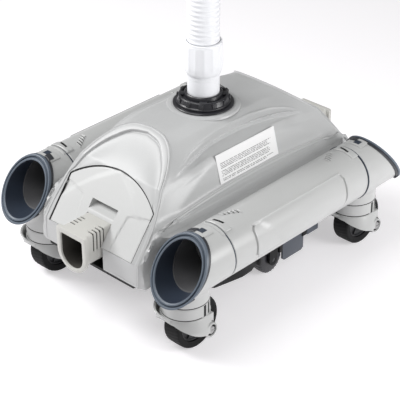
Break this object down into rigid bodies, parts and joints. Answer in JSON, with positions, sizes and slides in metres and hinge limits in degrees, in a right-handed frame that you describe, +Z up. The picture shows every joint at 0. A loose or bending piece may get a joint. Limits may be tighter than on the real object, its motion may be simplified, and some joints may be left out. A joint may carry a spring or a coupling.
{
  "type": "pool cleaner",
  "caption": "Water driven pool cleaner on swivel casters, with side flow tubes, pull-out filter drawers and an upright hose swivel.",
  "frame": {"origin": "on the floor, under the hose inlet axis, at the middle of the base", "axes": "+Z up along the hose inlet, -Y out of the front nozzle, +X towards the right flow tube"},
  "size_m": [0.362, 0.48, 0.62],
  "materials": {
    "shell_grey": "satin",
    "door_grey": "satin",
    "warm_grey": "satin",
    "slate": "satin",
    "charcoal": "satin",
    "black_plastic": "matte",
    "hub_grey": "satin",
    "tyre": "matte",
    "white_plastic": "satin",
    "steel": "brushed",
    "sticker": "satin"
  },
  "bodies": {
    "hull": {"top_shell": "shell_grey", "base_pan": "black_plastic", "hull_screws": "steel", "label_plate": "sticker", "tube_right": "shell_grey", "tube_left": "shell_grey", "inlet_flange": "black_plastic", "lock_ring": "black_plastic", "manifold": "charcoal", "elbow_rf": "shell_grey", "elbow_lf": "shell_grey", "elbow_rb": "shell_grey", "elbow_lb": "shell_grey", "mouth_ring_rf": "slate", "mouth_ring_lf": "slate", "mouth_ring_rb": "slate", "mouth_ring_lb": "slate", "mouth_collar_rf": "charcoal", "mouth_collar_lf": "charcoal", "mouth_collar_rb": "charcoal", "mouth_collar_lb": "charcoal", "gasket_rf": "slate", "gasket_lf": "slate", "gasket_rb": "slate", "gasket_lb": "slate"},
    "front_drawer": {"door_front": "door_grey", "nozzle_front": "warm_grey", "screen_front": "charcoal"},
    "rear_drawer": {"door_rear": "door_grey", "nozzle_rear": "warm_grey", "screen_rear": "charcoal"},
    "hose_swivel": {"swivel_pipe": "white_plastic", "swivel_nut": "white_plastic", "hose_tube": "white_plastic", "hose_end_cuff": "white_plastic"},
    "caster_rf": {"fork_rf": "shell_grey", "axle_rf": "steel"},
    "wheel_rf": {"hub_rf": "hub_grey", "tyre_rf": "tyre"},
    "caster_lf": {"fork_lf": "shell_grey", "axle_lf": "steel"},
    "wheel_lf": {"hub_lf": "hub_grey", "tyre_lf": "tyre"},
    "caster_rb": {"fork_rb": "shell_grey", "axle_rb": "steel"},
    "wheel_rb": {"hub_rb": "hub_grey", "tyre_rb": "tyre"},
    "caster_lb": {"fork_lb": "shell_grey", "axle_lb": "steel"},
    "wheel_lb": {"hub_lb": "hub_grey", "tyre_lb": "tyre"},
    "floor_roller_right": {"roller_right": "black_plastic"},
    "floor_roller_left": {"roller_left": "black_plastic"},
    "flap_right": {"skirt_flap_right": "slate"},
    "flap_left": {"skirt_flap_left": "slate"},
    "turbine_wheel": {"turbine": "slate"},
    "diverter_flap": {"diverter": "slate"}
  },
  "joints": [
    {"name": "front_drawer_slide", "type": "slide", "parent": "hull", "child": "front_drawer", "axis": [0, -1, 0], "range_m": [0, 0.1]},
    {"name": "rear_drawer_slide", "type": "slide", "parent": "hull", "child": "rear_drawer", "axis": [0, 1, 0], "range_m": [0, 0.1]},
    {"name": "hose_turn", "type": "hinge", "parent": "hull", "child": "hose_swivel", "pos_m": [0, 0, 0.24], "axis": [0, 0, 1], "continuous": true},
    {"name": "caster_rf_swivel", "type": "hinge", "parent": "hull", "child": "caster_rf", "pos_m": [0.127, -0.168, 0.08], "axis": [0, 0, 1], "continuous": true},
    {"name": "caster_lf_swivel", "type": "hinge", "parent": "hull", "child": "caster_lf", "pos_m": [-0.127, -0.168, 0.08], "axis": [0, 0, 1], "continuous": true},
    {"name": "caster_rb_swivel", "type": "hinge", "parent": "hull", "child": "caster_rb", "pos_m": [0.127, 0.168, 0.08], "axis": [0, 0, 1], "continuous": true},
    {"name": "caster_lb_swivel", "type": "hinge", "parent": "hull", "child": "caster_lb", "pos_m": [-0.127, 0.168, 0.08], "axis": [0, 0, 1], "continuous": true},
    {"name": "wheel_rf_roll", "type": "hinge", "parent": "caster_rf", "child": "wheel_rf", "pos_m": [0.127, -0.158, 0.0365], "axis": [1, 0, 0], "continuous": true},
    {"name": "wheel_lf_roll", "type": "hinge", "parent": "caster_lf", "child": "wheel_lf", "pos_m": [-0.127, -0.158, 0.0365], "axis": [1, 0, 0], "continuous": true},
    {"name": "wheel_rb_roll", "type": "hinge", "parent": "caster_rb", "child": "wheel_rb", "pos_m": [0.127, 0.178, 0.0365], "axis": [1, 0, 0], "continuous": true},
    {"name": "wheel_lb_roll", "type": "hinge", "parent": "caster_lb", "child": "wheel_lb", "pos_m": [-0.127, 0.178, 0.0365], "axis": [1, 0, 0], "continuous": true},
    {"name": "floor_roller_right_roll", "type": "hinge", "parent": "hull", "child": "floor_roller_right", "pos_m": [0.092, 0.028, 0.0245], "axis": [1, 0, 0], "continuous": true},
    {"name": "floor_roller_left_roll", "type": "hinge", "parent": "hull", "child": "floor_roller_left", "pos_m": [-0.092, -0.028, 0.0245], "axis": [1, 0, 0], "continuous": true},
    {"name": "flap_right_swing", "type": "hinge", "parent": "hull", "child": "flap_right", "pos_m": [0.101, 0.071, 0.058], "axis": [0, -1, 0], "range_deg": [0, 25]},
    {"name": "flap_left_swing", "type": "hinge", "parent": "hull", "child": "flap_left", "pos_m": [-0.101, -0.071, 0.058], "axis": [0, 1, 0], "range_deg": [0, 25]},
    {"name": "turbine_spin", "type": "hinge", "parent": "hull", "child": "turbine_wheel", "pos_m": [0, 0, 0.187], "axis": [0, 0, 1], "continuous": true},
    {"name": "diverter_tip", "type": "hinge", "parent": "hull", "child": "diverter_flap", "pos_m": [0, 0, 0.126], "axis": [1, 0, 0], "range_deg": [-35, 35]}
  ]
}
